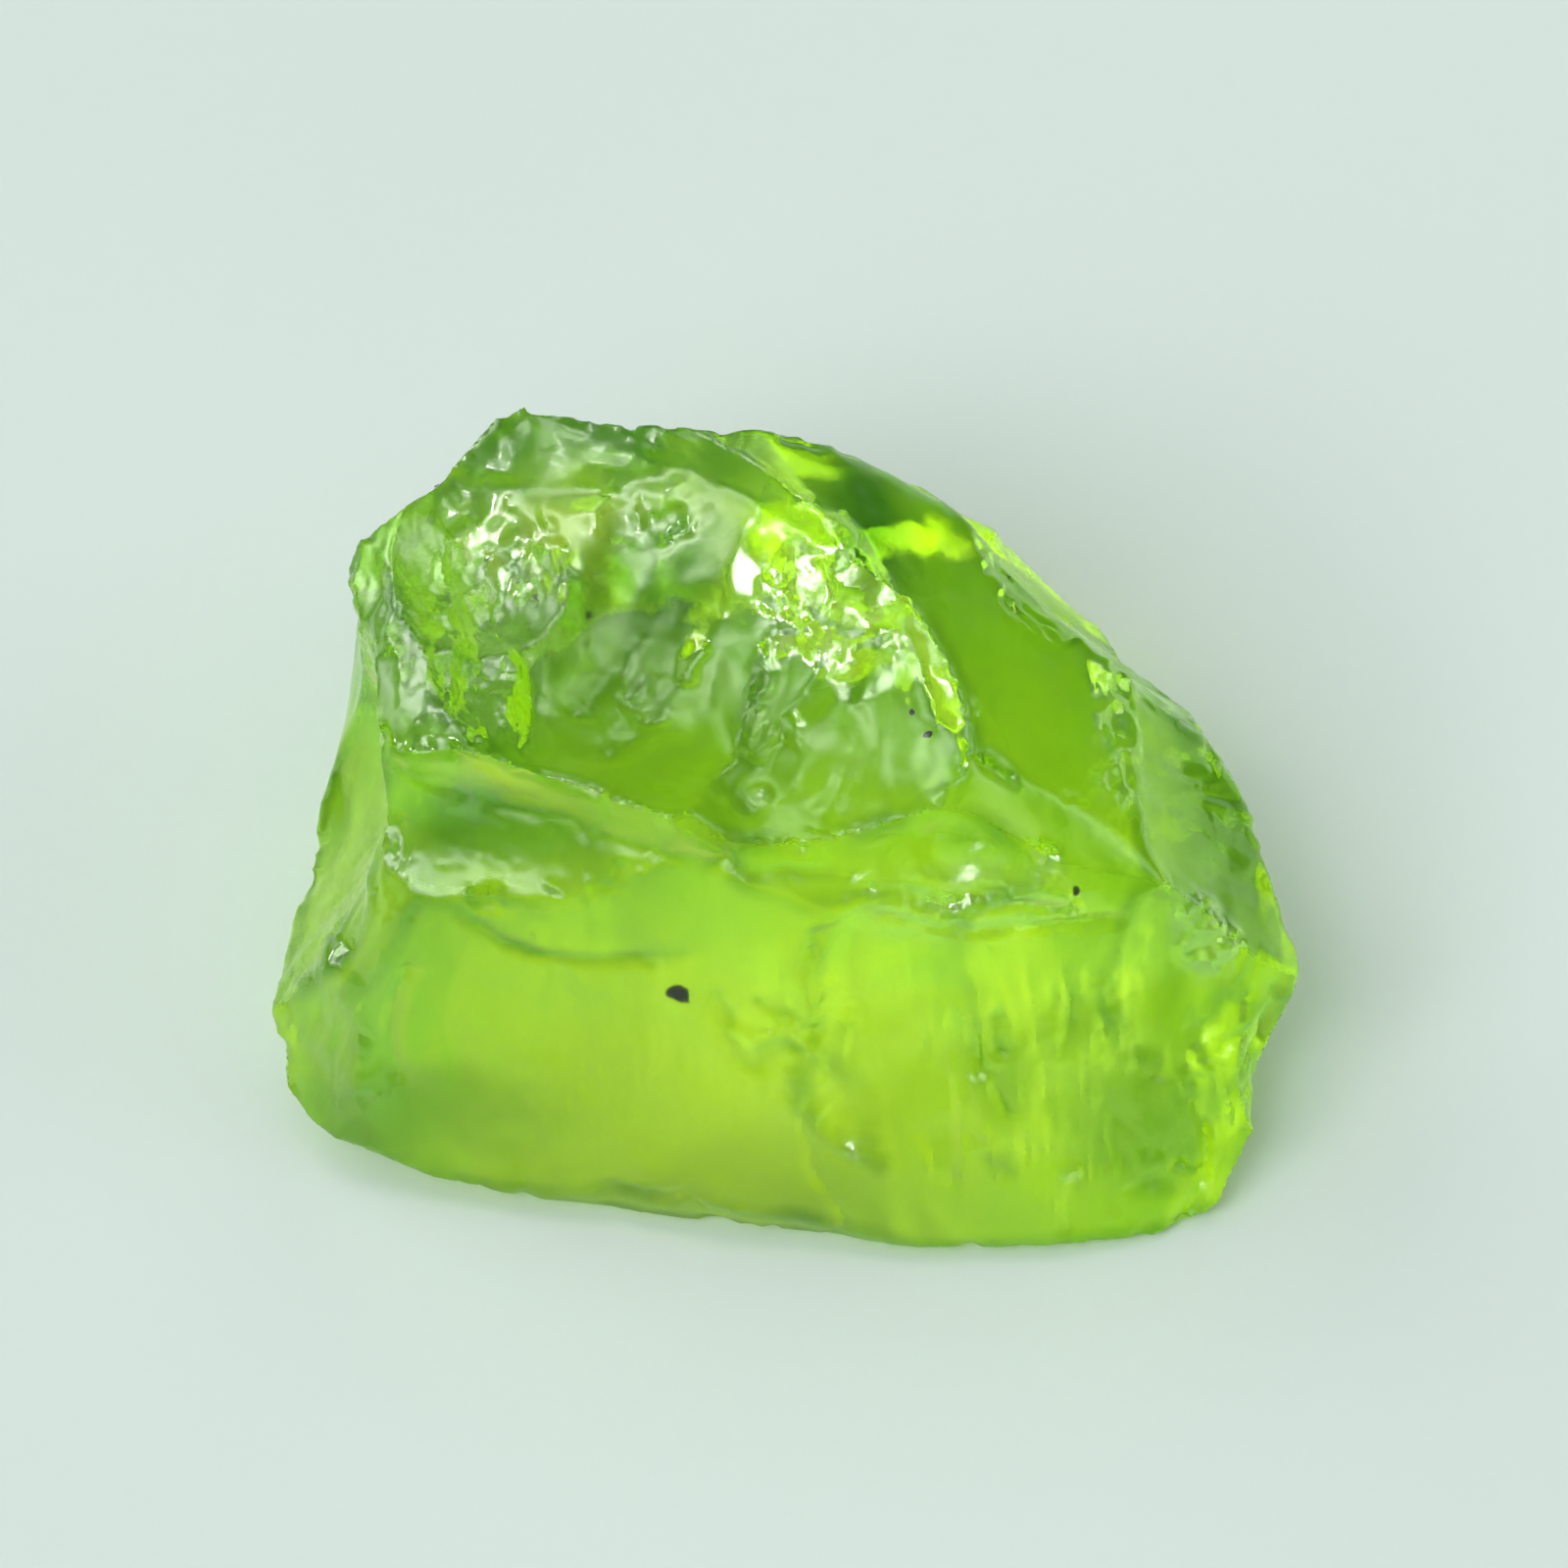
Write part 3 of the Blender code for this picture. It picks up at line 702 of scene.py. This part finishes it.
def makeSky():
    world = bpy.data.worlds.new("studio")
    bpy.context.scene.world = world
    world.use_nodes = True
    nodes, links = world.node_tree.nodes, world.node_tree.links
    place = nodes.new("ShaderNodeTexCoord")
    parts = nodes.new("ShaderNodeSeparateXYZ")
    links.new(place.outputs["Generated"], parts.inputs["Vector"])
    ramp = nodes.new("ShaderNodeValToRGB")
    low, high = ramp.color_ramp.elements
    low.position = 0.0
    low.color = studio["skyLow"]
    high.position = studio["skyHighAt"]
    high.color = studio["skyHigh"]
    links.new(parts.outputs["Z"], ramp.inputs["Fac"])
    light = ramp.outputs["Color"]
    for window in studio["windows"].values():
        facing = nodes.new("ShaderNodeVectorMath")
        facing.operation = "DOT_PRODUCT"
        facing.inputs[1].default_value = directionOf(window["azimuth"], window["elevation"])
        links.new(place.outputs["Generated"], facing.inputs[0])
        ahead = nodes.new("ShaderNodeMath")
        ahead.operation = "MAXIMUM"
        ahead.inputs[1].default_value = 0.0
        links.new(facing.outputs["Value"], ahead.inputs[0])
        lobe = nodes.new("ShaderNodeMath")
        lobe.operation = "POWER"
        lobe.inputs[1].default_value = window["sharpness"]
        links.new(ahead.outputs["Value"], lobe.inputs[0])
        total = nodes.new("ShaderNodeVectorMath")
        total.operation = "MULTIPLY_ADD"
        total.inputs[0].default_value = (window["strength"],) * 3
        links.new(lobe.outputs["Value"], total.inputs[1])
        links.new(light, total.inputs[2])
        light = total.outputs["Vector"]
    links.new(light, nodes["Background"].inputs["Color"])


# Small lamps that only glint on the faces, in metres and watts.
glints = {
    "size": 0.02,
    "power": 0.05,
    "aim": (0, 0, 0.002),
    "spots": {"glint_left": (-0.17, -0.02, 0.11), "glint_front": (-0.03, -0.14, 0.14)},
}


def makeGlint(name, spot):
    data = bpy.data.lights.new(name, "AREA")
    data.shape = "DISK"
    data.size = glints["size"]
    data.energy = glints["power"]
    light = bpy.data.objects.new(name, data)
    bpy.context.scene.collection.objects.link(light)
    light.location = spot
    light.rotation_mode = "QUATERNION"
    light.rotation_quaternion = (Vector(glints["aim"]) - Vector(spot)).to_track_quat("-Z", "Y")
    light.visible_diffuse = False
    light.visible_transmission = False


# The photograph's view: the angle above the floor, and the width that the picture takes in, in metres.
view = {"elevation": 58.0, "distance": 0.25, "width": 0.0138, "up": 0.0012, "clip": (0.01, 2.0)}


def makeCamera():
    tilt = math.radians(view["elevation"])
    back = Vector((0, -math.cos(tilt), math.sin(tilt)))
    upward = Vector((0, math.sin(tilt), math.cos(tilt)))
    data = bpy.data.cameras.new("camera")
    data.lens = data.sensor_width * view["distance"] / view["width"]
    data.clip_start, data.clip_end = view["clip"]
    camera = bpy.data.objects.new("camera", data)
    bpy.context.scene.collection.objects.link(camera)
    camera.location = upward * view["up"] + back * view["distance"]
    camera.rotation_mode = "QUATERNION"
    camera.rotation_quaternion = (-back).to_track_quat("-Z", "Y")
    bpy.context.scene.camera = camera


print("studio")
makeFloor()
makeSky()
for name, spot in glints["spots"].items():
    makeGlint(name, spot)
makeCamera()
scene = bpy.context.scene
scene.view_settings.view_transform = "Standard"
scene.cycles.use_denoising = True
scene.cycles.max_bounces = 16
scene.cycles.transmission_bounces = 14
scene.cycles.glossy_bounces = 12
scene.cycles.diffuse_bounces = 4
scene.cycles.blur_glossy = 0.0          # keeps the sharp glints inside the stone

print("finish")
